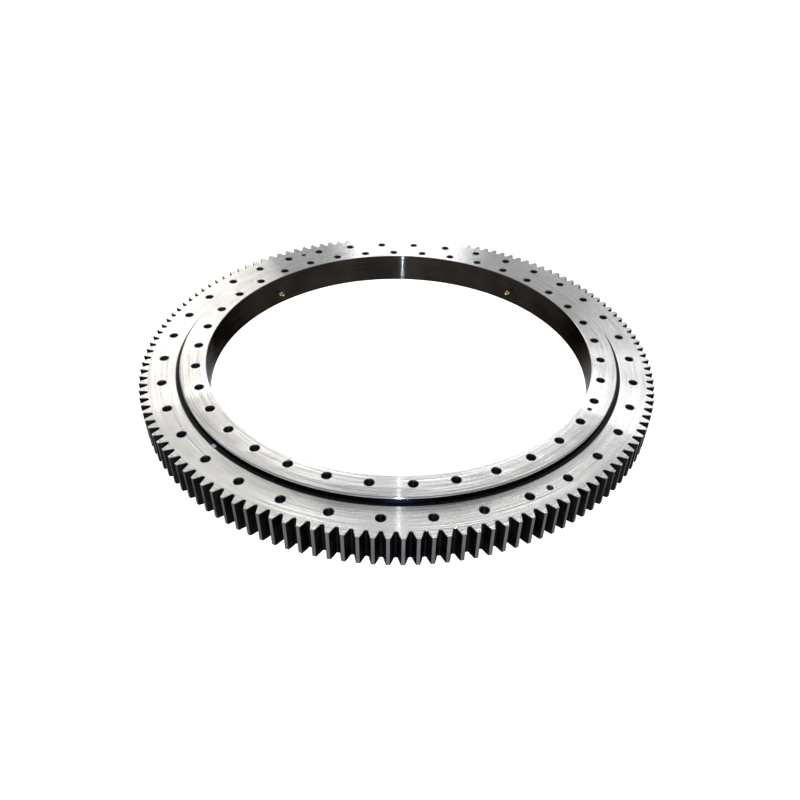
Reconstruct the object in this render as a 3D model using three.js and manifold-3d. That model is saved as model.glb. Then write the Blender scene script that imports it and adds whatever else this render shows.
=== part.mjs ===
// A single-row four-point-contact slewing ring bearing with an external gear.
// Millimetres, +Z up. The origin is the ring axis at the gear ring's bottom face.
import * as THREE from "three";
import { mergeVertices } from "three/addons/utils/BufferGeometryUtils.js";
import Module from "manifold-3d";

const wasm = await Module();
wasm.setup();

// Gear: full-depth spur teeth with a positive profile shift and slightly shortened tips.
const MODULE = 8;
const TOOTH_COUNT = 138;
const PROFILE_SHIFT = 0.5;
const TIP_SHORTENING = 0.1;
const ROOT_CLEARANCE = 0.25;
const PRESSURE_ANGLE = THREE.MathUtils.degToRad(20);
const GAP_AZIMUTH = -89.65;

// Heights of the two rings above the gear ring's bottom face.
const GEAR_RING_HEIGHT = 68;
const INNER_RING_BOTTOM = 8;
const INNER_RING_TOP = 80;

// Bolt holes: the same number in each ring, on two circles.
const HOLE_COUNT = 36;
const HOLE_RADIUS = 9;
const OUTER_BOLT_RADIUS = 517.5;
const INNER_BOLT_RADIUS = 447;
const OUTER_HOLE_AZIMUTH = -90;
const INNER_HOLE_AZIMUTH = -93.44;

// Tapped holes for lifting eyes, on the outer bolt circle, midway between two bolt holes.
const LIFTING_AZIMUTHS = [-55, 125];
const LIFTING_RADIUS = 5.25;
const LIFTING_DEPTH = 30;

// Ball track and the walls of the two rings beside it.
const BORE_RADIUS = 426;
const TRACK_RADIUS = 482;
const TRACK_HEIGHT = 38;
const BALL_RADIUS = 15;
const BALL_CLEARANCE = 0.8;
const RING_GAP = 3;
const EDGE_CHAMFER = 1.5;

// The balls run in trains of three balls and three spacers.
const TRAIN_COUNT = 28;
const BALLS_PER_TRAIN = 3;
const SPACER_RADIUS = 11;
const BALL_SHOULDER = 0.88;

// Seals sit in a recess of the gear ring, above and below the ball track.
const SEAL_RECESS_RADIUS = 489.4;
const UPPER_RECESS_FLOOR = 60;
const LOWER_RECESS_ROOF = 15;
const SEAL_LIP_RADIUS = 481.4;
const SEAL_THICKNESS = 7;
const SEAL_LIP_START = 0.55;
const SEAL_LIP_END = 0.8;
const SEAL_JOINT_AZIMUTH = -132.4;

// Loading plug, its taper pin, and the grease nipples, all in the inner ring.
const PLUG_AZIMUTH = -27.6;
const PLUG_RADIUS = 15.5;
const PIN_RADIUS = 4;
const PIN_BOTTOM = 37;
const PIN_TOP = 78;
const NIPPLE_COUNT = 4;
const NIPPLE_AZIMUTH = 51.56;
const DUCT_RADIUS = 4.3;

// An M8 x 1 nipple, 9 mm across its flats. Near and far are distances from the bore wall, outwards.
const NIPPLE_SHANK = { near: -3, far: 8 };
const NIPPLE_HEXAGON = { radius: 9 / Math.sqrt(3), near: -7, far: -1 };
const NIPPLE_NECK = { radius: 2.4, near: -14, far: -6 };
const NIPPLE_HEAD = { radius: 3.3, near: -16.5, far: -12.5 };

const FIT_GAP = 0.3;
const RING_SEGMENTS = 72;
const HOLE_SIDES = 8;
const PLUG_SIDES = 16;
const OVERRUN = 5;

const PITCH_RADIUS = (MODULE * TOOTH_COUNT) / 2;
const BASE_RADIUS = PITCH_RADIUS * Math.cos(PRESSURE_ANGLE);
const TIP_RADIUS = PITCH_RADIUS + MODULE * (1 + PROFILE_SHIFT - TIP_SHORTENING);
const ROOT_RADIUS = PITCH_RADIUS - MODULE * (1 + ROOT_CLEARANCE - PROFILE_SHIFT);
const GEAR_WALL_RADIUS = TRACK_RADIUS + RING_GAP / 2;
const INNER_WALL_RADIUS = TRACK_RADIUS - RING_GAP / 2;

const radians = THREE.MathUtils.degToRad;

// ---- helpers: closed geometries, and cuts and joins between them ----

function toSolid(geometry) {
  const bare = geometry.clone();
  bare.deleteAttribute("normal");
  bare.deleteAttribute("uv");
  const merged = mergeVertices(bare, 1e-3);
  return new wasm.Manifold(
    new wasm.Mesh({
      numProp: 3,
      vertProperties: merged.attributes.position.array,
      triVerts: new Uint32Array(merged.index.array),
    }),
  );
}

function toGeometry(solid) {
  const mesh = solid.getMesh();
  const geometry = new THREE.BufferGeometry();
  geometry.setAttribute("position", new THREE.BufferAttribute(mesh.vertProperties, 3));
  geometry.setIndex(new THREE.BufferAttribute(mesh.triVerts, 1));
  geometry.computeVertexNormals();
  return geometry;
}

// A ring whose section is the closed outline of [radius, height] points, taken clockwise.
function revolve(outline, segments = RING_SEGMENTS) {
  const loop = [...outline, outline[0]].toReversed();
  const points = loop.map(([radius, height]) => new THREE.Vector2(radius, height));
  return new THREE.LatheGeometry(points, segments).rotateX(Math.PI / 2);
}

// An upright cylinder at a polar position in the plane of the ring.
function uprightCylinder(radius, low, high, circleRadius, azimuth, sides = HOLE_SIDES) {
  return new THREE.CylinderGeometry(radius, radius, high - low, sides)
    .rotateX(Math.PI / 2)
    .translate(circleRadius, 0, (low + high) / 2)
    .rotateZ(radians(azimuth));
}

// A cylinder along a spoke of the ring, at the height of the ball track.
function spokeCylinder(radius, near, far, azimuth, sides) {
  return new THREE.CylinderGeometry(radius, radius, far - near, sides)
    .rotateZ(-Math.PI / 2)
    .translate((near + far) / 2, 0, TRACK_HEIGHT)
    .rotateZ(radians(azimuth));
}

function namedMesh(name, geometry, material) {
  const mesh = new THREE.Mesh(geometry, material);
  mesh.name = name;
  return mesh;
}

// ---- sections shared by the rings ----

// Points of a raceway groove, from its lower lip to its upper lip; side is 1 for the gear ring.
function racewayArc(wallRadius, side) {
  const groove = BALL_RADIUS + BALL_CLEARANCE;
  const lip = Math.acos(Math.abs(wallRadius - TRACK_RADIUS) / groove);
  const steps = 4;
  return Array.from({ length: steps + 1 }, (_, i) => {
    const angle = lip * ((2 * i) / steps - 1);
    return [
      TRACK_RADIUS + side * groove * Math.cos(angle),
      TRACK_HEIGHT + groove * Math.sin(angle),
    ];
  });
}

// The toothed outline, two points on each flank and one at the bottom of each gap.
function toothOutline() {
  const involute = (angle) => Math.tan(angle) - angle;
  const pitch = (2 * Math.PI) / TOOTH_COUNT;
  const thickness = Math.PI / 2 + 2 * PROFILE_SHIFT * Math.tan(PRESSURE_ANGLE);
  const halfAngle = (radius) =>
    (MODULE * thickness) / (2 * PITCH_RADIUS) +
    involute(PRESSURE_ANGLE) -
    involute(Math.acos(BASE_RADIUS / radius));
  const filletRadius = ROOT_RADIUS + 0.3 * MODULE;
  const flank = [filletRadius, TIP_RADIUS];
  const shape = [];
  for (let tooth = 0; tooth < TOOTH_COUNT; tooth++) {
    const centre = radians(GAP_AZIMUTH) + (tooth + 0.5) * pitch;
    const corners = [
      ...flank.map((radius) => [radius, centre - halfAngle(radius)]),
      ...flank.toReversed().map((radius) => [radius, centre + halfAngle(radius)]),
      [ROOT_RADIUS, centre + pitch / 2],
    ];
    for (const [radius, angle] of corners)
      shape.push(new THREE.Vector2(radius * Math.cos(angle), radius * Math.sin(angle)));
  }
  return new THREE.Shape(shape);
}

function boltHoles(circleRadius, firstAzimuth) {
  return Array.from({ length: HOLE_COUNT }, (_, i) =>
    uprightCylinder(
      HOLE_RADIUS,
      -OVERRUN,
      INNER_RING_TOP + OVERRUN,
      circleRadius,
      firstAzimuth + (360 / HOLE_COUNT) * i,
    ),
  );
}

function cutAll(solid, tools) {
  return tools.reduce((rest, tool) => rest.subtract(toSolid(tool)), solid);
}

// ---- sub-parts ----

function gearRing() {
  const section = revolve([
    [TIP_RADIUS + OVERRUN, 0],
    [SEAL_RECESS_RADIUS, 0],
    [SEAL_RECESS_RADIUS, LOWER_RECESS_ROOF],
    [GEAR_WALL_RADIUS, LOWER_RECESS_ROOF],
    ...racewayArc(GEAR_WALL_RADIUS, 1),
    [GEAR_WALL_RADIUS, UPPER_RECESS_FLOOR],
    [SEAL_RECESS_RADIUS, UPPER_RECESS_FLOOR],
    [SEAL_RECESS_RADIUS, GEAR_RING_HEIGHT],
    [TIP_RADIUS + OVERRUN, GEAR_RING_HEIGHT],
  ]);
  const toothed = new THREE.ExtrudeGeometry(toothOutline(), {
    depth: GEAR_RING_HEIGHT + 2 * OVERRUN,
    bevelEnabled: false,
  }).translate(0, 0, -OVERRUN);
  const liftingHoles = LIFTING_AZIMUTHS.map((azimuth) =>
    uprightCylinder(
      LIFTING_RADIUS,
      GEAR_RING_HEIGHT - LIFTING_DEPTH,
      GEAR_RING_HEIGHT + OVERRUN,
      OUTER_BOLT_RADIUS,
      azimuth,
    ),
  );
  const blank = toSolid(section).intersect(toSolid(toothed));
  return cutAll(blank, [...boltHoles(OUTER_BOLT_RADIUS, OUTER_HOLE_AZIMUTH), ...liftingHoles]);
}

// The inner ring before it is drilled. The loading plug is cut from the same shape.
function innerRingBlank() {
  return toSolid(
    revolve([
      [INNER_WALL_RADIUS, INNER_RING_BOTTOM],
      [BORE_RADIUS, INNER_RING_BOTTOM],
      [BORE_RADIUS, INNER_RING_TOP - EDGE_CHAMFER],
      [BORE_RADIUS + EDGE_CHAMFER, INNER_RING_TOP],
      [INNER_WALL_RADIUS - EDGE_CHAMFER, INNER_RING_TOP],
      [INNER_WALL_RADIUS, INNER_RING_TOP - EDGE_CHAMFER],
      ...racewayArc(INNER_WALL_RADIUS, -1).toReversed(),
    ]),
  );
}

function pinHole() {
  const top = INNER_RING_TOP + OVERRUN;
  return uprightCylinder(PIN_RADIUS + FIT_GAP, PIN_BOTTOM - FIT_GAP, top, INNER_BOLT_RADIUS, PLUG_AZIMUTH);
}

function nippleAzimuths() {
  return Array.from({ length: NIPPLE_COUNT }, (_, i) => NIPPLE_AZIMUTH + (360 / NIPPLE_COUNT) * i);
}

function innerRing() {
  const near = BORE_RADIUS - OVERRUN;
  const far = TRACK_RADIUS;
  const plugHole = spokeCylinder(PLUG_RADIUS + FIT_GAP, near, far, PLUG_AZIMUTH, PLUG_SIDES);
  const ducts = nippleAzimuths().map((azimuth) => spokeCylinder(DUCT_RADIUS, near, far, azimuth, HOLE_SIDES));
  const holes = boltHoles(INNER_BOLT_RADIUS, INNER_HOLE_AZIMUTH);
  return cutAll(innerRingBlank(), [...holes, plugHole, pinHole(), ...ducts]);
}

function loadingPlug() {
  const bar = spokeCylinder(PLUG_RADIUS, BORE_RADIUS - OVERRUN, TRACK_RADIUS, PLUG_AZIMUTH, PLUG_SIDES);
  return toSolid(bar).intersect(innerRingBlank()).subtract(toSolid(pinHole()));
}

// The pin tapers 1 in 50 down its length.
function taperPin() {
  const length = PIN_TOP - PIN_BOTTOM;
  return new THREE.CylinderGeometry(PIN_RADIUS, PIN_RADIUS - length / 100, length, HOLE_SIDES)
    .rotateX(Math.PI / 2)
    .translate(INNER_BOLT_RADIUS, 0, (PIN_TOP + PIN_BOTTOM) / 2)
    .rotateZ(radians(PLUG_AZIMUTH));
}

// A seal fills its recess and tapers to a lip at the inner ring's wall; facing is 1 for the upper one.
function seal(recessEnd, facing) {
  const base = recessEnd + facing * FIT_GAP;
  const outline = [
    [SEAL_RECESS_RADIUS - FIT_GAP, base],
    [GEAR_WALL_RADIUS, base],
    [SEAL_LIP_RADIUS, base + SEAL_LIP_START * facing * SEAL_THICKNESS],
    [SEAL_LIP_RADIUS, base + SEAL_LIP_END * facing * SEAL_THICKNESS],
    [SEAL_RECESS_RADIUS - FIT_GAP, base + facing * SEAL_THICKNESS],
  ];
  return revolve(facing > 0 ? outline : outline.toReversed());
}

// The bead where the upper seal's two ends meet.
function sealJoint() {
  const low = UPPER_RECESS_FLOOR + SEAL_THICKNESS + 2 * FIT_GAP;
  const depth = 1;
  const width = 6;
  const length = 12;
  const inset = 1;
  return new THREE.BoxGeometry(width, length, depth)
    .translate(SEAL_RECESS_RADIUS - inset - width / 2, 0, low + depth / 2)
    .rotateZ(radians(SEAL_JOINT_AZIMUTH));
}

// A hexagonal body, a threaded shank in the duct, and a round head towards the ring's centre.
function greaseNipple(azimuth) {
  const length = ({ radius, near, far }, sides = HOLE_SIDES) =>
    toSolid(spokeCylinder(radius, BORE_RADIUS + near, BORE_RADIUS + far, azimuth, sides));
  return length({ radius: DUCT_RADIUS - FIT_GAP, ...NIPPLE_SHANK })
    .add(length(NIPPLE_HEXAGON, 6))
    .add(length(NIPPLE_NECK))
    .add(length(NIPPLE_HEAD));
}

// Balls and spacers in a row along the ball track, joined where they touch.
function ballTrain(index) {
  const pitch = (2 * Math.PI * TRACK_RADIUS) / (TRAIN_COUNT * BALLS_PER_TRAIN);
  const ringAt = (radius) => Math.sqrt(BALL_RADIUS ** 2 - radius ** 2);
  const shoulder = BALL_SHOULDER * BALL_RADIUS;
  const outline = [new THREE.Vector2(0, -BALL_RADIUS)];
  for (let ball = 0; ball < BALLS_PER_TRAIN; ball++) {
    const middle = ball * pitch;
    const rings = [
      [SPACER_RADIUS, -ringAt(SPACER_RADIUS)],
      [shoulder, -ringAt(shoulder)],
      [BALL_RADIUS, 0],
      [shoulder, ringAt(shoulder)],
      [SPACER_RADIUS, ringAt(SPACER_RADIUS)],
    ];
    outline.push(...rings.map(([radius, along]) => new THREE.Vector2(radius, middle + along)));
  }
  const end = BALLS_PER_TRAIN * pitch - BALL_RADIUS - FIT_GAP;
  outline.push(new THREE.Vector2(SPACER_RADIUS, end), new THREE.Vector2(0, end));
  const train = new THREE.LatheGeometry(outline, 8);
  return bentAlongTrack(train, (2 * Math.PI * index) / TRAIN_COUNT);
}

// Wraps a straight bar along Y round the ball track, starting at an angle.
function bentAlongTrack(geometry, start) {
  const place = geometry.attributes.position;
  for (let i = 0; i < place.count; i++) {
    const angle = start + place.getY(i) / TRACK_RADIUS;
    const radius = TRACK_RADIUS + place.getX(i);
    place.setXYZ(i, radius * Math.cos(angle), radius * Math.sin(angle), TRACK_HEIGHT + place.getZ(i));
  }
  return geometry;
}

// ---- materials ----

const groundSteel = () => new THREE.MeshStandardMaterial({ color: 0xc9c8c4, roughness: 0.32, metalness: 1 });
const rubber = () => new THREE.MeshStandardMaterial({ color: 0x14161c, roughness: 0.45, metalness: 0 });
const hardSteel = () => new THREE.MeshStandardMaterial({ color: 0xd8dadc, roughness: 0.12, metalness: 1 });
const darkSteel = () => new THREE.MeshStandardMaterial({ color: 0x4a4642, roughness: 0.45, metalness: 1 });
const brass = () => new THREE.MeshStandardMaterial({ color: 0xb9a05c, roughness: 0.3, metalness: 1 });
const bondedBead = () => new THREE.MeshStandardMaterial({ color: 0xd9dde2, roughness: 0.3, metalness: 0.2 });

// ---- assembly ----

function numbered(count, make) {
  return Array.from({ length: count }, (_, i) => make(i, String(i + 1).padStart(2, "0")));
}

const bearing = new THREE.Group();
bearing.add(
  namedMesh("gear_ring", toGeometry(gearRing()), groundSteel()),
  namedMesh("inner_ring", toGeometry(innerRing()), groundSteel()),
  namedMesh("upper_seal", seal(UPPER_RECESS_FLOOR, 1), rubber()),
  namedMesh("lower_seal", seal(LOWER_RECESS_ROOF, -1), rubber()),
  namedMesh("upper_seal_joint", sealJoint(), bondedBead()),
  namedMesh("loading_plug", toGeometry(loadingPlug()), darkSteel()),
  namedMesh("taper_pin", taperPin(), darkSteel()),
  ...nippleAzimuths().map((azimuth, i) =>
    namedMesh("grease_nipple_" + (i + 1), toGeometry(greaseNipple(azimuth)), brass()),
  ),
  ...numbered(TRAIN_COUNT, (i, label) => namedMesh("ball_train_" + label, ballTrain(i), hardSteel())),
);

export default bearing;
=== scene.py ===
"""Looks of a slewing ring bearing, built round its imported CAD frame. Metres, +Z up."""
import math

import bmesh
import bpy
from mathutils import Matrix, Vector
from mathutils.geometry import tessellate_polygon


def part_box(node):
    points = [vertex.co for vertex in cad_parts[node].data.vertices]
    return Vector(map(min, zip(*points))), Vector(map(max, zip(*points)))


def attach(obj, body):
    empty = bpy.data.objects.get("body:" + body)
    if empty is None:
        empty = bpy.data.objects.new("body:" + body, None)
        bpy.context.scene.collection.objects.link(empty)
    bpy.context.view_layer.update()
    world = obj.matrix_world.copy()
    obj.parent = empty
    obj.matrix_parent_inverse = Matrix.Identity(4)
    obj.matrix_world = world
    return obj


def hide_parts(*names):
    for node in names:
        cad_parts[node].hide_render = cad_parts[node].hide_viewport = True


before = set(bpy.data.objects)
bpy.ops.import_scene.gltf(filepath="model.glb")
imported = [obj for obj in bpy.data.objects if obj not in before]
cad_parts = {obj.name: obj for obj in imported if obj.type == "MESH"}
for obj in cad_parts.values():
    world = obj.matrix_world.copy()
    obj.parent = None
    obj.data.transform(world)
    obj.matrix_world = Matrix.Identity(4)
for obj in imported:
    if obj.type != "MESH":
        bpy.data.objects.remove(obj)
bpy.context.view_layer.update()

# ---- driving dimensions ----

TOOTH_MODULE = 0.008
TOOTH_COUNT = 138
PROFILE_SHIFT = 0.5
TIP_SHORTENING = 0.1
ROOT_CLEARANCE = 0.25
PRESSURE_ANGLE = math.radians(20)
GAP_AZIMUTH = math.radians(-89.65)
ROOT_FILLET = 0.0033
TOOTH_CHAMFER = 0.0008
TIP_BREAK = 0.0005

HOLE_COUNT = 36
HOLE_RADIUS = 0.009
HOLE_CHAMFER = 0.001
HOLE_SIDES = 48
OUTER_BOLT_RADIUS = 0.5175
INNER_BOLT_RADIUS = 0.447
OUTER_HOLE_AZIMUTH = math.radians(-90)
INNER_HOLE_AZIMUTH = math.radians(-93.44)

LIFTING_AZIMUTHS = (math.radians(-55), math.radians(125))
LIFTING_MINOR = 0.0051
LIFTING_MAJOR = 0.006
LIFTING_MOUTH = 0.0068
LIFTING_DEPTH = 0.03
LIFTING_SIDES = 32
THREAD_PITCH = 0.00175

TRACK_RADIUS = 0.482
TRACK_HEIGHT = 0.038
BALL_RADIUS = 0.015
GROOVE_RADIUS = 0.0154
GROOVE_STEPS = 14
BALL_COUNT = 84
BALL_SIDES = 36
TRAIN_COUNT = 28
SPACER_RADIUS = 0.0125
SPACER_HOLE = 0.004
RING_GAP = 0.003
WALL_ROUND = 0.003
EDGE_CHAMFER = 0.001
ROUND_STEPS = 4
CIRCLE_SIDES = 720
SHARP_ANGLE = math.radians(32)

PLUG_RADIUS = 0.0155
PLUG_SIDES = 64
PIN_RADIUS = 0.004
PIN_SIDES = 32
PIN_TAPER = 1 / 50
DUCT_RADIUS = 0.0043
DUCT_SIDES = 32
NIPPLE_SIDES = 48
JOINT_GAP = 0.00015
TOOL_REACH = 0.01  # how far a cutting tool stands out of the surface that it cuts

PITCH_RADIUS = TOOTH_MODULE * TOOTH_COUNT / 2
BASE_RADIUS = PITCH_RADIUS * math.cos(PRESSURE_ANGLE)
TIP_RADIUS = PITCH_RADIUS + TOOTH_MODULE * (1 + PROFILE_SHIFT - TIP_SHORTENING)
ROOT_RADIUS = PITCH_RADIUS - TOOTH_MODULE * (1 + ROOT_CLEARANCE - PROFILE_SHIFT)

gear_low, gear_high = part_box("gear_ring")
inner_low, inner_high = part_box("inner_ring")
plug_low, plug_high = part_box("loading_plug")
pin_low, pin_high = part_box("taper_pin")
upper_seal_low, upper_seal_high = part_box("upper_seal")
lower_seal_low, lower_seal_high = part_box("lower_seal")

INNER_WALL = inner_high.x
GEAR_WALL = INNER_WALL + RING_GAP
SEAL_OUTER = upper_seal_high.x
RECESS_RADIUS = SEAL_OUTER + JOINT_GAP
BORE_RADIUS = 0.426
PLUG_AZIMUTH = math.atan2(plug_low.y + plug_high.y, plug_low.x + plug_high.x)


# ---- mesh building ----

class Shell:
    """Points and faces of one mesh, gathered before it is made.

    Each face has a finish, its index in the list of materials.
    """

    def __init__(self):
        self.points, self.faces, self.finishes = [], [], []

    def loop(self, flat, height):
        """Adds a closed loop of (x, y) points at one height and returns its indices."""
        start = len(self.points)
        self.points += [(x, y, height) for x, y in flat]
        return list(range(start, len(self.points)))

    def face(self, corners, finish):
        """One face, given by the indices of its corners."""
        self.faces.append(corners)
        self.finishes.append(finish)

    def band(self, lower, upper, finish):
        """Quads between two loops of the same length."""
        for i in range(len(lower)):
            j = (i + 1) % len(lower)
            self.face((lower[i], lower[j], upper[j], upper[i]), finish)

    def wall(self, levels, finishes):
        """Bands down a list of (loop of points, height) levels, each with its finish.

        Returns the first and the last loop.
        """
        loops = [self.loop(flat, height) for flat, height in levels]
        for upper, lower, finish in zip(loops, loops[1:], finishes):
            self.band(lower, upper, finish)
        return loops[0], loops[-1]

    def cap(self, loops, up, finish):
        """A flat face inside the first loop and outside the others."""
        flat = [[Vector((*self.points[i][:2], 0)) for i in loop] for loop in loops]
        index = [i for loop in loops for i in loop]
        for corners in tessellate_polygon(flat):
            a, b, c = (index[k] for k in corners)
            (ax, ay, _), (bx, by, _), (cx, cy, _) = (self.points[k] for k in (a, b, c))
            counter_clockwise = (bx - ax) * (cy - ay) - (by - ay) * (cx - ax) > 0
            self.face((a, b, c) if counter_clockwise == up else (a, c, b), finish)

    def fan(self, loop, tip, finish):
        """Triangles from a loop to one point."""
        self.points.append(tip)
        for i in range(len(loop)):
            self.face((loop[i], loop[(i + 1) % len(loop)], len(self.points) - 1), finish)

    def build(self, name, materials):
        mesh = bpy.data.meshes.new(name)
        mesh.from_pydata(self.points, [], self.faces)
        mesh.polygons.foreach_set("material_index", self.finishes)
        return placed(name, mesh, materials)


def placed(name, mesh, materials):
    """An object of the mesh, smooth except at its sharp edges."""
    for material in materials:
        mesh.materials.append(material)
    mesh.polygons.foreach_set("use_smooth", [True] * len(mesh.polygons))
    mesh.set_sharp_from_angle(angle=SHARP_ANGLE)
    made = bpy.data.objects.new(name, mesh)
    bpy.context.scene.collection.objects.link(made)
    return made


def circle(radius, sides=CIRCLE_SIDES, centre=(0, 0), inward=False):
    """Points round a circle, clockwise where the wall they make faces the circle's centre."""
    turn = -1 if inward else 1
    steps = [turn * 2 * math.pi * i / sides for i in range(sides)]
    return [(centre[0] + radius * math.cos(a), centre[1] + radius * math.sin(a)) for a in steps]


def polar(radius, azimuth):
    return radius * math.cos(azimuth), radius * math.sin(azimuth)


def groove(wall, side):
    """(radius, height) down a raceway groove from its upper lip.

    The side is 1 in the gear ring and -1 in the inner ring.
    """
    lip = math.acos(abs(wall - TRACK_RADIUS) / GROOVE_RADIUS)
    points = []
    for i in range(GROOVE_STEPS + 1):
        turn = lip * (1 - 2 * i / GROOVE_STEPS)
        out, up = GROOVE_RADIUS * math.cos(turn), GROOVE_RADIUS * math.sin(turn)
        points.append((TRACK_RADIUS + side * out, TRACK_HEIGHT + up))
    return points


def drilled(shell, centre, high, low, finish):
    """A bolt hole with a chamfer at each end. Returns its loops in the two faces."""
    def ring(radius):
        return circle(radius, HOLE_SIDES, centre, inward=True)

    mouth = HOLE_RADIUS + HOLE_CHAMFER
    levels = [
        (ring(mouth), high),
        (ring(HOLE_RADIUS), high - HOLE_CHAMFER),
        (ring(HOLE_RADIUS), low + HOLE_CHAMFER),
        (ring(mouth), low),
    ]
    return shell.wall(levels, [finish] * 3)


def tapped(shell, centre, high, finish):
    """A blind hole with thread crests all the way down. Returns its loop in the face."""
    def ring(radius):
        return circle(radius, LIFTING_SIDES, centre, inward=True)

    turns = int(LIFTING_DEPTH / THREAD_PITCH)
    levels = [(ring(LIFTING_MOUTH), high)]
    for i in range(2 * turns):
        radius = LIFTING_MAJOR if i % 2 else LIFTING_MINOR
        depth = (LIFTING_MOUTH - LIFTING_MINOR) + i * THREAD_PITCH / 2
        levels.append((ring(radius), high - depth))
    top, bottom = shell.wall(levels, [finish] * len(levels))
    shell.fan(bottom, (*centre, high - LIFTING_DEPTH - LIFTING_MINOR), finish)
    return top


# ---- the gear ring ----

def involute(angle):
    return math.tan(angle) - angle


def half_tooth(radius):
    """Half the angle that a tooth fills at a radius."""
    thickness = math.pi / 2 + 2 * PROFILE_SHIFT * math.tan(PRESSURE_ANGLE)
    at_pitch = TOOTH_MODULE * thickness / (2 * PITCH_RADIUS)
    return at_pitch + involute(PRESSURE_ANGLE) - involute(math.acos(BASE_RADIUS / radius))


def half_tooth_profile():
    """(radius, angle from the tooth's middle), from mid tip land to mid gap."""
    flank_steps, fillet_steps = 6, 6
    half_pitch = math.pi / TOOTH_COUNT
    crest = half_tooth(TIP_RADIUS) - TIP_BREAK / TIP_RADIUS
    profile = [(TIP_RADIUS, 0), (TIP_RADIUS, crest)]
    flank_top, flank_end = TIP_RADIUS - TIP_BREAK, ROOT_RADIUS + ROOT_FILLET
    for i in range(flank_steps + 1):
        radius = flank_top + (flank_end - flank_top) * i / flank_steps
        profile.append((radius, half_tooth(radius)))
    gap = half_pitch - half_tooth(flank_end)
    for i in range(1, fillet_steps + 1):
        turn = math.pi / 2 * i / fillet_steps
        radius = flank_end - ROOT_FILLET * math.sin(turn)
        profile.append((radius, half_pitch - gap * math.cos(turn)))
    return profile


def tooth_outline():
    """The gear's outline, and for each point whether the edge that leaves it is on a tip land."""
    half = half_tooth_profile()
    outline, on_tip = [], []
    for tooth in range(TOOTH_COUNT):
        middle = GAP_AZIMUTH + (tooth + 0.5) * 2 * math.pi / TOOTH_COUNT
        rising = [(radius, middle - angle) for radius, angle in reversed(half[1:-1])]
        falling = [(radius, middle + angle) for radius, angle in half]
        outline += [polar(radius, angle) for radius, angle in rising + falling]
        on_tip += [False] * (len(rising) - 1) + [True, True] + [False] * (len(falling) - 1)
    return outline, on_tip


def shrunk(outline, distance):
    """The outline moved inwards along its own normals."""
    moved = []
    for i, (x, y) in enumerate(outline):
        before, after = Vector(outline[i - 1]), Vector(outline[(i + 1) % len(outline)])
        along = (after - before).normalized()
        moved.append((x - distance * along.y, y + distance * along.x))
    return moved


def gear_ring(materials):
    """Materials: ground faces, tooth flanks, tip lands, hole walls, inner walls, raceway."""
    ground, flank, tip_land, hole_wall, inner_wall, raceway = range(6)
    high, low = gear_high.z, gear_low.z
    shell = Shell()
    outline, on_tip = tooth_outline()
    inset = shrunk(outline, TOOTH_CHAMFER)
    levels = [
        (inset, high),
        (outline, high - TOOTH_CHAMFER),
        (outline, low + TOOTH_CHAMFER),
        (inset, low),
    ]
    loops = [shell.loop(flat, height) for flat, height in levels]
    shell.band(loops[1], loops[0], ground)
    start = len(shell.faces)
    shell.band(loops[2], loops[1], flank)
    for i, tip in enumerate(on_tip):
        if tip:
            shell.finishes[start + i] = tip_land
    shell.band(loops[3], loops[2], ground)

    lips = [
        (RECESS_RADIUS + EDGE_CHAMFER / 2, high),
        (RECESS_RADIUS, high - EDGE_CHAMFER / 2),
        (RECESS_RADIUS, upper_seal_low.z - JOINT_GAP),
        (GEAR_WALL, upper_seal_low.z - JOINT_GAP),
        *groove(GEAR_WALL, 1),
        (GEAR_WALL, lower_seal_high.z + JOINT_GAP),
        (RECESS_RADIUS, lower_seal_high.z + JOINT_GAP),
        (RECESS_RADIUS, low + EDGE_CHAMFER),
        (RECESS_RADIUS + EDGE_CHAMFER, low),
    ]
    finishes = [
        ground, *[inner_wall] * 3, *[raceway] * GROOVE_STEPS, *[inner_wall] * 3, ground,
    ]
    top, bottom = shell.wall([(circle(r, inward=True), z) for r, z in lips], finishes)
    tops, bottoms = [loops[0], top], [loops[3], bottom]
    for i in range(HOLE_COUNT):
        centre = polar(OUTER_BOLT_RADIUS, OUTER_HOLE_AZIMUTH + 2 * math.pi * i / HOLE_COUNT)
        above, below = drilled(shell, centre, high, low, hole_wall)
        tops.append(above)
        bottoms.append(below)
    for azimuth in LIFTING_AZIMUTHS:
        tops.append(tapped(shell, polar(OUTER_BOLT_RADIUS, azimuth), high, hole_wall))
    shell.cap(tops, True, ground)
    shell.cap(bottoms, False, ground)
    return shell.build("gear_ring_detailed", materials)


# ---- the inner ring and what sits in it ----

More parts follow.
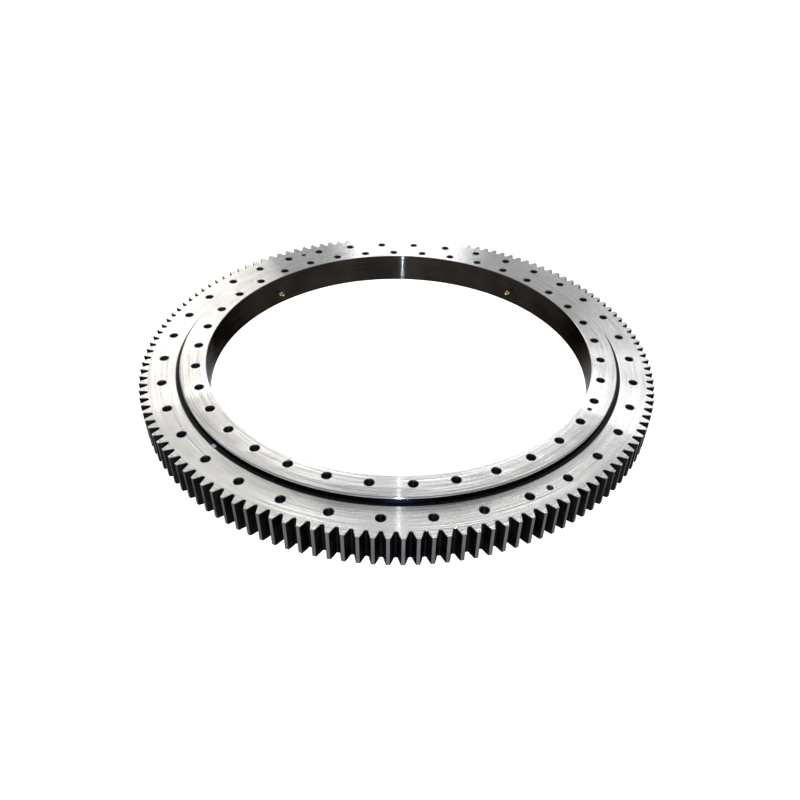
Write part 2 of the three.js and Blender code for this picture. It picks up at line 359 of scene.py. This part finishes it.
def inner_ring(materials):
    """Materials: ground faces, bore, outer wall, hole walls, raceway."""
    ground, bore_wall, outer_wall, hole_wall, raceway = range(5)
    high, low = inner_high.z, inner_low.z
    shell = Shell()
    turns = [math.pi / 2 * i / ROUND_STEPS for i in range(ROUND_STEPS + 1)]
    rounded = [
        (INNER_WALL - WALL_ROUND * (1 - math.sin(a)), high - WALL_ROUND * (1 - math.cos(a)))
        for a in turns
    ]
    outside = [
        *rounded,
        *groove(INNER_WALL, -1),
        (INNER_WALL, low + EDGE_CHAMFER),
        (INNER_WALL - EDGE_CHAMFER, low),
    ]
    finishes = [
        *[ground] * ROUND_STEPS, outer_wall, *[raceway] * GROOVE_STEPS, outer_wall, ground,
    ]
    top, bottom = shell.wall([(circle(r), z) for r, z in outside], finishes)
    inside = [
        (BORE_RADIUS + EDGE_CHAMFER, high),
        (BORE_RADIUS, high - EDGE_CHAMFER),
        (BORE_RADIUS, low + EDGE_CHAMFER),
        (BORE_RADIUS + EDGE_CHAMFER, low),
    ]
    bore_top, bore_bottom = shell.wall(
        [(circle(r, inward=True), z) for r, z in inside], [ground, bore_wall, ground]
    )
    tops, bottoms = [top, bore_top], [bottom, bore_bottom]
    for i in range(HOLE_COUNT):
        centre = polar(INNER_BOLT_RADIUS, INNER_HOLE_AZIMUTH + 2 * math.pi * i / HOLE_COUNT)
        above, below = drilled(shell, centre, high, low, hole_wall)
        tops.append(above)
        bottoms.append(below)
    shell.cap(tops, True, ground)
    shell.cap(bottoms, False, ground)
    ring = shell.build("inner_ring_detailed", materials)
    tools = [spoke_bar(PLUG_RADIUS + JOINT_GAP, PLUG_AZIMUTH, PLUG_SIDES), pin_bar()]
    for node in nodes_named("grease_nipple"):
        tools.append(spoke_bar(DUCT_RADIUS, azimuth_of(node), DUCT_SIDES))
    carve(ring, "DIFFERENCE", tools, materials[hole_wall])
    return ring


def nodes_named(start):
    return sorted(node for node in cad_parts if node.startswith(start))


def azimuth_of(node):
    low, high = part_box(node)
    return math.atan2(low.y + high.y, low.x + high.x)


def lathe(name, outline, sides, place, materials, wrench=None):
    """Turns an outline of (radius, along) points about Z, and places the result.

    The outline's ends lie on the axis, or are the same point. With a wrench radius, whatever is
    wider than that is cut to six flats.
    """
    def row(radius):
        flat = circle(radius, sides)
        if wrench is None or radius <= wrench:
            return flat
        cut = []
        for i, (x, y) in enumerate(flat):
            from_flat = 2 * math.pi * i / sides % (math.pi / 3) - math.pi / 6
            share = min(1, wrench / math.cos(from_flat) / radius)
            cut.append((x * share, y * share))
        return cut

    mesh = bmesh.new()
    closed = outline[0] == outline[-1]
    points = outline[:-1] if closed else outline
    rows = []
    for radius, along in points:
        if radius == 0:
            rows.append([mesh.verts.new((0, 0, along))])
        else:
            rows.append([mesh.verts.new((x, y, along)) for x, y in row(radius)])
    pairs = list(zip(rows, rows[1:])) + ([(rows[-1], rows[0])] if closed else [])
    for near, far in pairs:
        for i in range(sides):
            j = (i + 1) % sides
            before, after = len(near), len(far)
            corners = near[i % before], near[j % before], far[j % after], far[i % after]
            mesh.faces.new(list(dict.fromkeys(corners)))
    bmesh.ops.transform(mesh, matrix=place, verts=mesh.verts)
    bmesh.ops.recalc_face_normals(mesh, faces=mesh.faces)
    data = bpy.data.meshes.new(name)
    mesh.to_mesh(data)
    mesh.free()
    return placed(name, data, materials)


def spoke(azimuth, radius=0.0):
    """The place whose Z axis points out along a spoke at the track's height, from a radius on."""
    return (
        Matrix.Rotation(azimuth, 4, "Z")
        @ Matrix.Translation((radius, 0, TRACK_HEIGHT))
        @ Matrix.Rotation(math.pi / 2, 4, "Y")
    )


def spoke_bar(radius, azimuth, sides):
    """A tool that cuts a round hole from the bore to the ball track."""
    near, far = BORE_RADIUS - TOOL_REACH, TRACK_RADIUS
    outline = [(0, near), (radius, near), (radius, far), (0, far)]
    return lathe("tool", outline, sides, spoke(azimuth), [])


def pin_bar():
    """A tool that cuts the taper pin's hole, upright through the ring and the plug."""
    hole = PIN_RADIUS + JOINT_GAP
    mouth = hole + HOLE_CHAMFER
    low, high = pin_low.z, inner_high.z
    outline = [
        (0, low), (hole, low), (hole, high - HOLE_CHAMFER),
        (mouth, high), (mouth, high + TOOL_REACH), (0, high + TOOL_REACH),
    ]
    return lathe("tool", outline, PIN_SIDES, pin_place(), [])


def pin_place():
    x, y = polar(INNER_BOLT_RADIUS, PLUG_AZIMUTH)
    return Matrix.Translation((x, y, 0))


def carve(piece, operation, tools, material):
    """Applies a boolean with each tool to the piece, and removes the tools.

    The faces that the tools leave get the material.
    """
    for tool in tools:
        tool.data.materials.append(material)
        cut = piece.modifiers.new("cut", "BOOLEAN")
        cut.operation = operation
        cut.solver = "EXACT"
        cut.material_mode = "TRANSFER"
        cut.object = tool
    carved = piece.evaluated_get(bpy.context.evaluated_depsgraph_get())
    made = bpy.data.meshes.new_from_object(carved)
    piece.modifiers.clear()
    piece.data = made
    made.set_sharp_from_angle(angle=SHARP_ANGLE)
    for tool in tools:
        bpy.data.objects.remove(tool)


def loading_plug(materials):
    """A round plug, grooved like the raceway at its far end.

    Its face is just inside the bore and has a hole to draw it out by.
    """
    hole, floor, cone, mouth, chamfer = 0.005, 0.016, 0.003, 0.006, 0.001
    rim, inset = 0.0006, 0.0002
    face = BORE_RADIUS + inset
    outline = [
        (0, BORE_RADIUS + floor + cone), (hole, BORE_RADIUS + floor), (hole, face + chamfer),
        (mouth, face), (PLUG_RADIUS - rim, face), (PLUG_RADIUS, face + rim),
        (PLUG_RADIUS, TRACK_RADIUS), (0, TRACK_RADIUS),
    ]
    plug = lathe("loading_plug_detailed", outline, PLUG_SIDES, spoke(PLUG_AZIMUTH), materials)
    inside = BORE_RADIUS - TOOL_REACH
    section = [
        (inside, inner_low.z), *reversed(groove(INNER_WALL, -1)),
        (inside, inner_high.z), (inside, inner_low.z),
    ]
    blank = lathe("tool", section, CIRCLE_SIDES, Matrix.Identity(4), [])
    carve(plug, "INTERSECT", [blank], materials[0])
    carve(plug, "DIFFERENCE", [pin_bar()], materials[0])
    return plug


def taper_pin(materials):
    """A pin that narrows to its foot, with a slightly domed head."""
    low, high = pin_low.z, pin_high.z
    foot = PIN_RADIUS - PIN_TAPER * (high - low) / 2
    dome, edge, dome_steps = 0.0006, 0.0008, 4
    outline = [(0, low), (foot - edge, low), (foot, low + edge), (PIN_RADIUS, high - edge)]
    for i in range(1, dome_steps):
        turn = math.pi / 2 * i / dome_steps
        outline.append((PIN_RADIUS * math.cos(turn), high - edge + dome * math.sin(turn)))
    outline.append((0, high - edge + dome))
    return lathe("taper_pin_detailed", outline, PIN_SIDES, pin_place(), materials)


def grease_nipple(node, materials):
    """A threaded shank, a hexagonal body, a waisted neck and a round head with its ball valve.

    The outline runs from inside the ring to the bore's middle: (radius, depth in the bore's wall).
    """
    wrench, corner = 0.0045, 0.0052
    root, crest, pitch, threads = 0.0035, 0.004, 0.001, 7
    shank = [(0, 0.0075), (root, 0.0075)]
    for i in range(threads):
        shank += [(crest, 0.007 - i * pitch), (root, 0.0065 - i * pitch)]
    body = [
        (wrench, -0.001), (corner, -0.0015), (corner, -0.0062), (wrench, -0.0069),
        (0.0031, -0.0070), (0.0024, -0.0085), (0.0022, -0.0105), (0.0023, -0.0118),
        (0.0029, -0.0128), (0.0033, -0.0138), (0.0032, -0.0148), (0.0026, -0.0157),
        (0.0017, -0.0161), (0.0014, -0.0159), (0.0012, -0.0158), (0.0008, -0.0163), (0, -0.0164),
    ]
    outline = [*shank, (root, -0.001), *body]
    place = spoke(azimuth_of(node), BORE_RADIUS)
    return lathe(node + "_detailed", outline, NIPPLE_SIDES, place, materials, wrench)


# ---- seals ----

def seal(name, back, front, materials):
    """A seal in its recess: back is the height of the recess floor, front that of the open face."""
    def at(depth):
        return front - depth if front > back else front + depth

    lip = INNER_WALL + 0.0003
    toe = at(abs(front - back) - 0.0012)
    outline = [
        (SEAL_OUTER, back), (SEAL_OUTER, at(0.0006)), (SEAL_OUTER - 0.0006, front),
        (SEAL_OUTER - 0.0024, front), (SEAL_OUTER - 0.0030, at(0.0009)),
        (SEAL_OUTER - 0.0040, at(0.0013)), (SEAL_OUTER - 0.0052, at(0.0010)),
        (lip + 0.0016, at(0.0004)), (lip + 0.0006, at(0.0003)), (lip, at(0.0009)),
        (lip + 0.0001, at(0.0020)), (lip + 0.0012, at(0.0032)),
        (GEAR_WALL + 0.0006, toe), (GEAR_WALL + 0.0004, back), (SEAL_OUTER, back),
    ]
    return lathe(name, outline, CIRCLE_SIDES, Matrix.Identity(4), materials)


def seal_joint(materials):
    """A rounded bead of bonding across the seal, where its two ends meet."""
    half_width, half_length, share_of_height = 0.0034, 0.0062, 0.95
    centre_radius = SEAL_OUTER - 0.0038
    low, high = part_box("upper_seal_joint")
    azimuth = azimuth_of("upper_seal_joint")
    bead = bmesh.new()
    bmesh.ops.create_icosphere(bead, subdivisions=4, radius=1)
    for vert in bead.verts:
        x, y, z = vert.co
        ripple = 1 + 0.09 * math.sin(5 * x + 1.7) * math.cos(4 * y - 0.6)
        vert.co = (x * ripple * half_width, y * ripple * half_length, z * ripple)
    top = max(vert.co.z for vert in bead.verts)
    for vert in bead.verts:
        vert.co.z *= (high.z - low.z) * share_of_height / top
    turn = Matrix.Rotation(azimuth, 4, "Z")
    place = turn @ Matrix.Translation((centre_radius, 0, low.z))
    bmesh.ops.transform(bead, matrix=place, verts=bead.verts)
    data = bpy.data.meshes.new("upper_seal_joint_detailed")
    bead.to_mesh(data)
    bead.free()
    return placed("upper_seal_joint_detailed", data, materials)


# ---- the ball row ----

def on_track(angle):
    """The place whose Z axis runs along the ball track."""
    return (
        Matrix.Rotation(angle, 4, "Z")
        @ Matrix.Translation((TRACK_RADIUS, 0, TRACK_HEIGHT))
        @ Matrix.Rotation(-math.pi / 2, 4, "X")
    )


def joined(name, pieces):
    """One object of several, which stay separate shells in its mesh."""
    mesh = bmesh.new()
    for piece in pieces:
        mesh.from_mesh(piece.data)
    data = bpy.data.meshes.new(name)
    mesh.to_mesh(data)
    mesh.free()
    materials = list(pieces[0].data.materials)
    for piece in pieces:
        bpy.data.objects.remove(piece)
    return placed(name, data, materials)


def ball(angle, materials):
    rings = 24
    outline = [(0, -BALL_RADIUS)]
    for i in range(1, rings):
        turn = math.pi * i / rings
        outline.append((BALL_RADIUS * math.sin(turn), -BALL_RADIUS * math.cos(turn)))
    outline.append((0, BALL_RADIUS))
    return lathe("ball", outline, BALL_SIDES, on_track(angle), materials)


def spacer(angle, materials):
    """A short sleeve, hollowed at both ends to fit the balls beside it."""
    half_pitch = math.pi * TRACK_RADIUS / BALL_COUNT
    clearance, edge, steps = 0.0003, 0.0008, 6
    cup = []
    for i in range(steps + 1):
        radius = SPACER_HOLE + (SPACER_RADIUS - edge - SPACER_HOLE) * i / steps
        cup.append((radius, half_pitch - clearance - math.sqrt(BALL_RADIUS**2 - radius**2)))
    rim = (SPACER_RADIUS, cup[-1][1] - edge)
    outline = [*cup, rim, (rim[0], -rim[1]), *[(r, -a) for r, a in reversed(cup)], cup[0]]
    return lathe("spacer", outline, BALL_SIDES, on_track(angle), materials)


def ball_trains(ball_materials, spacer_materials):
    """Stands balls and spacers in for each CAD node of the ball row. Node 1 starts at azimuth 0."""
    pitch = 2 * math.pi / BALL_COUNT
    per_train = BALL_COUNT // TRAIN_COUNT
    for index, node in enumerate(nodes_named("ball_train")):
        angles = [(index * per_train + k) * pitch for k in range(per_train)]
        label = node.removeprefix("ball_train_")
        balls = joined("balls_" + label, [ball(a, ball_materials) for a in angles])
        sleeves = [spacer(a + pitch / 2, spacer_materials) for a in angles]
        spacers = joined("spacers_" + label, sleeves)
        for piece in (balls, spacers):
            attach(piece, "ball_set")
            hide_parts(node)


# ---- materials ----

NOISE_LOW, NOISE_HIGH = 0.35, 0.65  # the range that most of a noise lies in
ACROSS_MARKS = 0.25  # anisotropic rotation, in turns, that smears highlights across the marks


class Paint:
    """One procedural material on a Principled shader. Extra arguments name its other sockets."""

    def __init__(self, name, metallic, roughness, **fixed):
        self.material = bpy.data.materials.new(name)
        self.material.use_nodes = True
        self.tree = self.material.node_tree
        self.shader = self.tree.nodes["Principled BSDF"]
        self.shader.inputs["Metallic"].default_value = metallic
        self.shader.inputs["Roughness"].default_value = roughness
        for socket, value in fixed.items():
            self.shader.inputs[socket.replace("_", " ")].default_value = value

    def node(self, kind, inputs=(), **settings):
        made = self.tree.nodes.new("ShaderNode" + kind)
        for key, value in settings.items():
            setattr(made, key, value)
        for socket, value in dict(inputs).items():
            if isinstance(value, bpy.types.NodeSocket):
                self.tree.links.new(value, made.inputs[socket])
            else:
                made.inputs[socket].default_value = value
        return made

    def place(self):
        return self.node("TexCoord").outputs["Object"]

    def scaled(self, vector, scale):
        inputs = {0: vector, "Scale": scale}
        return self.node("VectorMath", inputs, operation="SCALE").outputs[0]

    def lay(self, along, across):
        """Coordinates that are stretched round the ring.

        They change by along for each radian round it, and by across for each metre out or up.
        """
        point = self.place()
        flat = self.node("VectorMath", {0: point, 1: (1, 1, 0)}, operation="MULTIPLY").outputs[0]
        radius = self.node("VectorMath", {0: flat}, operation="LENGTH").outputs["Value"]
        spoke_way = self.node("VectorMath", {0: flat}, operation="NORMALIZE").outputs[0]
        turned = self.scaled(spoke_way, along)
        parts = self.node("SeparateXYZ", {0: point}).outputs
        depth = self.node("Math", {0: radius, 1: parts["Z"]}, operation="ADD").outputs[0]
        steps = self.node("Math", {0: depth, 1: across}, operation="MULTIPLY").outputs[0]
        lifted = self.node("CombineXYZ", {"Z": steps}).outputs[0]
        return self.node("VectorMath", {0: turned, 1: lifted}, operation="ADD").outputs[0]

    def noise(self, vector, scale=1.0, detail=3.0, roughness=0.55):
        inputs = {"Vector": vector, "Scale": scale, "Detail": detail, "Roughness": roughness}
        return self.node("TexNoise", inputs).outputs["Fac"]

    def ramp(self, factor, low, high, start=NOISE_LOW, end=NOISE_HIGH):
        """Maps a factor to a number or colour, from low at its start to high at its end."""
        if isinstance(low, tuple):
            share = self.ramp(factor, 0.0, 1.0, start, end)
            mix = self.node("Mix", {"Factor": share}, data_type="RGBA")
            mix.inputs["A"].default_value = (*low, 1)
            mix.inputs["B"].default_value = (*high, 1)
            return mix.outputs["Result"]
        inputs = {
            "Value": factor, "From Min": start, "From Max": end, "To Min": low, "To Max": high,
        }
        return self.node("MapRange", inputs, interpolation_type="SMOOTHSTEP").outputs["Result"]

    def colour(self, socket):
        self.tree.links.new(socket, self.shader.inputs["Base Color"])

    def roughness(self, socket):
        self.tree.links.new(socket, self.shader.inputs["Roughness"])

    def relief(self, socket, distance, strength):
        bump = self.node("Bump", {"Height": socket, "Distance": distance, "Strength": strength})
        self.tree.links.new(bump.outputs["Normal"], self.shader.inputs["Normal"])

    def turned_marks(self, marks, tilt):
        """Fine marks round the ring, which tilt the surface across themselves.

        Together they draw highlights out in that direction.
        """
        tangent = self.node("Tangent", direction_type="RADIAL", axis="Z").outputs["Tangent"]
        normal = self.node("NewGeometry").outputs["Normal"]
        pair = {0: normal, 1: tangent}
        across = self.node("VectorMath", pair, operation="CROSS_PRODUCT").outputs[0]
        inputs = {
            "Value": marks, "From Min": NOISE_LOW, "From Max": NOISE_HIGH,
            "To Min": -tilt, "To Max": tilt,
        }
        lean = self.scaled(across, self.node("MapRange", inputs).outputs["Result"])
        tilted = self.node("VectorMath", {0: normal, 1: lean}, operation="ADD").outputs[0]
        leaning = self.node("VectorMath", {0: tilted}, operation="NORMALIZE").outputs[0]
        self.tree.links.new(tangent, self.shader.inputs["Tangent"])
        self.tree.links.new(leaning, self.shader.inputs["Normal"])


def ground_steel(name):
    """Bright faces, turned and ground: fine marks round the ring, and faint stains."""
    paint = Paint(name, 1.0, 0.2, Anisotropic=1.0, Anisotropic_Rotation=ACROSS_MARKS)
    marks = paint.noise(paint.lay(2.0, 7000.0), detail=1.0, roughness=0.5)
    bands = paint.noise(paint.lay(0.8, 260.0), detail=3.0, roughness=0.6)
    stains = paint.noise(paint.place(), scale=7.0, detail=4.0)
    paint.turned_marks(marks, 0.32)
    paint.colour(paint.ramp(stains, (0.755, 0.75, 0.735), (0.79, 0.79, 0.785), 0.3, 0.7))
    paint.roughness(paint.ramp(bands, 0.09, 0.115, 0.25, 0.75))
    return paint.material


def shade_painted_steel(name, dark, light, low, high, tilt=0.12):
    """Steel painted dark as painted shade for the dim surroundings that it reflects, with marks
    that go round the ring.

    Its colour lies between dark and light, and its roughness between low and high.
    """
    # Painted shade: the dark colour and the dull specular tint stand in for the dim surroundings
    # that this steel would reflect.
    paint = Paint(
        name, 1.0, (low + high) / 2, Anisotropic=0.9, Anisotropic_Rotation=ACROSS_MARKS,
        Specular_Tint=(0.3, 0.29, 0.28, 1),
    )
    marks = paint.noise(paint.lay(2.0, 6000.0), detail=1.0, roughness=0.5)
    bands = paint.noise(paint.lay(3.0, 300.0), detail=4.0, roughness=0.6)
    clouds = paint.noise(paint.place(), scale=11.0, detail=4.0)
    paint.turned_marks(marks, tilt)
    paint.colour(paint.ramp(clouds, dark, light, 0.3, 0.7))
    paint.roughness(paint.ramp(bands, low, high, 0.25, 0.75))
    return paint.material


def flank_steel(name):
    """Hobbed tooth flanks, painted near black as painted shade for the dim surroundings they
    reflect, with feed marks every 2.2 mm of height.
    """
    radians_per_metre = 2800.0  # of a sine wave
    paint = Paint(name, 1.0, 0.5, Specular_Tint=(0.3, 0.3, 0.3, 1))
    parts = paint.node("SeparateXYZ", {0: paint.place()}).outputs
    inputs = {0: parts["Z"], 1: radians_per_metre}
    feed = paint.node("Math", inputs, operation="MULTIPLY").outputs[0]
    wave = paint.node("Math", {0: feed}, operation="SINE").outputs[0]
    clouds = paint.noise(paint.place(), scale=35.0, detail=5.0)
    height = paint.node("Math", {0: wave, 1: clouds}, operation="ADD").outputs[0]
    # Painted shade: the near-black colour and the dull specular tint stand in for the dim
    # surroundings that the flanks reflect.
    paint.colour(paint.ramp(clouds, (0.007, 0.007, 0.007), (0.012, 0.0116, 0.0112)))
    paint.roughness(paint.ramp(clouds, 0.45, 0.62))
    paint.relief(height, 0.00004, 0.4)
    return paint.material


def raceway_steel(name):
    """Hardened and ground, with faint streaks along the track."""
    paint = Paint(name, 1.0, 0.12)
    streaks = paint.noise(paint.lay(6.0, 1200.0), detail=3.0)
    paint.colour(paint.ramp(streaks, (0.6, 0.6, 0.6), (0.72, 0.72, 0.73)))
    paint.roughness(paint.ramp(streaks, 0.08, 0.18))
    return paint.material


def ball_steel(name):
    """Polished, with a thin haze of grease."""
    paint = Paint(name, 1.0, 0.06)
    haze = paint.noise(paint.place(), scale=240.0, detail=4.0)
    paint.colour(paint.ramp(haze, (0.72, 0.73, 0.74), (0.84, 0.85, 0.86)))
    paint.roughness(paint.ramp(haze, 0.04, 0.11))
    return paint.material


def seal_rubber(name):
    """Black nitrile with a film of grease, and fine lines left by its extrusion."""
    paint = Paint(name, 0.0, 0.4, Specular_IOR_Level=0.35)
    lines = paint.noise(paint.lay(2.0, 1500.0), detail=2.0)
    film = paint.noise(paint.place(), scale=60.0, detail=4.0)
    paint.colour(paint.ramp(film, (0.003, 0.0035, 0.006), (0.007, 0.008, 0.013)))
    paint.roughness(paint.ramp(film, 0.25, 0.42))
    paint.relief(lines, 0.00004, 0.5)
    return paint.material


def nylon(name):
    """Natural moulded nylon."""
    paint = Paint(name, 0.0, 0.45, Subsurface_Weight=0.1)
    grain = paint.noise(paint.place(), scale=400.0, detail=3.0)
    paint.colour(paint.ramp(grain, (0.62, 0.58, 0.46), (0.70, 0.66, 0.54)))
    paint.roughness(paint.ramp(grain, 0.4, 0.55))
    paint.relief(grain, 0.00003, 0.3)
    return paint.material


def brass(name):
    """Turned brass, dulled in patches."""
    paint = Paint(name, 1.0, 0.25)
    tarnish = paint.noise(paint.place(), scale=300.0, detail=4.0)
    paint.colour(paint.ramp(tarnish, (0.62, 0.46, 0.20), (0.86, 0.70, 0.38)))
    paint.roughness(paint.ramp(tarnish, 0.18, 0.36))
    return paint.material


def bonding(name):
    """Pale glossy adhesive, its pale colour partly the bead's own and partly a painted highlight.
    """
    paint = Paint(name, 0.0, 0.2, Coat_Weight=0.6, Coat_Roughness=0.1)
    cloudy = paint.noise(paint.place(), scale=500.0, detail=3.0)
    # Partly painted highlight: the pale blue-white colour is partly the bead's own and partly
    # stands in for a glint.
    paint.colour(paint.ramp(cloudy, (0.70, 0.73, 0.78), (0.90, 0.92, 0.95)))
    paint.roughness(paint.ramp(cloudy, 0.12, 0.3))
    return paint.material


def floor_paint(name):
    """White underfoot, fading to grey up the backdrop, so that the steel doesn't reflect white."""
    fade_height = 1.2
    paint = Paint(name, 0.0, 0.8, Emission_Color=(1, 1, 1, 1))
    mottle = paint.noise(paint.place(), scale=3.0, detail=2.0)
    height = paint.node("SeparateXYZ", {0: paint.place()}).outputs["Z"]
    uneven = paint.node("Math", {0: height, 1: mottle}, operation="ADD").outputs[0]
    paint.colour(paint.ramp(uneven, (0.91, 0.91, 0.91), (0.4, 0.4, 0.4), 0.7, 1.9))
    glow = paint.ramp(height, 0.88, 0.1, 0.0, fade_height)
    paint.tree.links.new(glow, paint.shader.inputs["Emission Strength"])
    return paint.material


# ---- stage, light and camera ----

FLOOR_RADIUS = 10.0
FLOOR_SIDES = 96
FLOOR_GAP = 0.0002
COVE_RADIUS = 2.0
COVE_STEPS = 8
BACKDROP_HEIGHT = 4.0


def make_floor():
    """A round pale floor that curves up into a grey backdrop, out of the camera's view."""
    shell = Shell()
    floor_height = gear_low.z - FLOOR_GAP
    levels = [(circle(FLOOR_RADIUS + COVE_RADIUS, FLOOR_SIDES), BACKDROP_HEIGHT)]
    for i in range(COVE_STEPS + 1):
        turn = math.pi / 2 * (1 - i / COVE_STEPS)
        flat = circle(FLOOR_RADIUS + COVE_RADIUS * math.sin(turn), FLOOR_SIDES)
        levels.append((flat, floor_height + COVE_RADIUS * (1 - math.cos(turn))))
    _, rim = shell.wall(levels, [0] * len(levels))
    shell.face(tuple(rim), 0)
    shell.build("floor", [floor_paint("pale_floor")])


LIGHT_DISTANCE = 5.0
WARM, NEUTRAL, COOL = (1.0, 0.965, 0.90), (1.0, 1.0, 1.0), (0.86, 0.93, 1.0)
BLUE = (0.62, 0.78, 1.0)
# Panels as seen from the ring: azimuth, elevation, width and height in degrees, then radiance
# and colour. The fans of light on the faces are these panels, smeared across the fine marks.
LIGHTS = {
    "back_panel": (92.8, 20, 13.6, 24, 2.3, NEUTRAL),
    "left_middle_panel": (109.5, 40, 11, 10, 1.5, WARM),
    "right_middle_panel": (77, 38, 9, 10, 0.9, NEUTRAL),
    "left_panel": (119.5, 27, 20, 20, 1.6, WARM),
    "right_panel": (59.5, 33, 22, 12, 1.25, NEUTRAL),
    "high_panel": (92, 54, 70, 26, 0.34, NEUTRAL),
    "strip_above": (93.4, 58, 0.2, 18, 5, COOL),
    "strip_in_front": (-86.6, 5, 0.2, 8, 6000, BLUE),
}
WORLD_LIGHT = (0.25, 0.25, 0.248)


def make_lights():
    aim = Vector((0, 0, gear_high.z))
    for name, (azimuth, elevation, wide, tall, radiance, colour) in LIGHTS.items():
        half_angles = (math.radians(size) / 2 for size in (wide, tall))
        width, height = (2 * LIGHT_DISTANCE * math.tan(half) for half in half_angles)
        data = bpy.data.lights.new(name, "AREA")
        data.shape = "RECTANGLE"
        data.size, data.size_y = width, height
        data.energy = radiance * math.pi * width * height
        data.color = colour
        lamp = bpy.data.objects.new(name, data)
        a, e = math.radians(azimuth), math.radians(elevation)
        way = Vector((math.cos(a) * math.cos(e), math.sin(a) * math.cos(e), math.sin(e)))
        lamp.location = aim + way * LIGHT_DISTANCE
        lamp.rotation_mode = "QUATERNION"
        lamp.rotation_quaternion = way.to_track_quat("Z", "Y")
        lamp.visible_camera = False
        bpy.context.scene.collection.objects.link(lamp)
    world = bpy.data.worlds.new("studio")
    world.use_nodes = True
    world.node_tree.nodes["Background"].inputs["Color"].default_value = (*WORLD_LIGHT, 1)
    bpy.context.scene.world = world
    bpy.context.scene.view_settings.view_transform = "Standard"


CAMERA_TURN = math.radians(0.15)
CAMERA_PLACE = Vector((0.1461, -2.5790, 1.7489)) * OUTER_BOLT_RADIUS
CAMERA_ELEVATION = math.radians(38.27)
CAMERA_ROLL = math.radians(2.884)
CAMERA_LENS = 31.87
CAMERA_SENSOR = 36.0
CAMERA_SHIFT = -0.04
CAMERA_FAR_CLIP = 100.0


def make_camera():
    data = bpy.data.cameras.new("camera")
    data.lens, data.sensor_width, data.shift_x = CAMERA_LENS, CAMERA_SENSOR, CAMERA_SHIFT
    data.clip_end = CAMERA_FAR_CLIP
    camera = bpy.data.objects.new("camera", data)
    turn = Matrix.Rotation(CAMERA_TURN, 4, "Z")
    tilt = Matrix.Rotation(math.pi / 2 - CAMERA_ELEVATION, 4, "X")
    roll = Matrix.Rotation(CAMERA_ROLL, 4, "Z")
    place = turn @ Matrix.Translation(CAMERA_PLACE)
    lift = Matrix.Translation((0, 0, gear_high.z))
    camera.matrix_world = lift @ place @ tilt @ roll
    bpy.context.scene.collection.objects.link(camera)
    bpy.context.scene.camera = camera


# ---- the whole ----

def stand_in_for(piece, body, node):
    """Puts a piece on a body, in place of a CAD node."""
    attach(piece, body)
    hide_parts(node)


make_camera()
make_lights()
make_floor()

faces = ground_steel("ground_steel")
# Painted shade: the flanks, tips, hole walls, step walls and bore get dark colours that stand in
# for the dim surroundings they reflect.
flanks = flank_steel("tooth_flank_steel")
tips = shade_painted_steel("tooth_tip_steel", (0.11, 0.11, 0.114), (0.15, 0.15, 0.154), 0.16, 0.24)
holes = shade_painted_steel("hole_wall_steel", (0.13, 0.14, 0.17), (0.21, 0.22, 0.26), 0.30, 0.42)
walls = shade_painted_steel("step_wall_steel", (0.007, 0.008, 0.014), (0.014, 0.016, 0.026), 0.20, 0.30)
bore = shade_painted_steel("bore_steel", (0.021, 0.018, 0.016), (0.032, 0.028, 0.024), 0.075, 0.105, 0.5)
track = raceway_steel("raceway_steel")
rubber = seal_rubber("seal_rubber")
nipple_brass = brass("nipple_brass")

outer = gear_ring([faces, flanks, tips, holes, walls, track])
inner = inner_ring([faces, bore, walls, holes, track])
stand_in_for(outer, "gear_side", "gear_ring")
stand_in_for(inner, "inner_side", "inner_ring")
for node, back, front in (
    ("upper_seal", upper_seal_low.z, upper_seal_high.z),
    ("lower_seal", lower_seal_high.z, lower_seal_low.z),
):
    stand_in_for(seal(node + "_detailed", back, front, [rubber]), "gear_side", node)
stand_in_for(seal_joint([bonding("seal_bonding")]), "gear_side", "upper_seal_joint")
# The plug and the pin carry the painted shade of the bore and of the hole walls.
stand_in_for(loading_plug([bore]), "inner_side", "loading_plug")
stand_in_for(taper_pin([holes]), "inner_side", "taper_pin")
for node in nodes_named("grease_nipple"):
    stand_in_for(grease_nipple(node, [nipple_brass]), "inner_side", node)
ball_trains([ball_steel("ball_steel")], [nylon("spacer_nylon")])
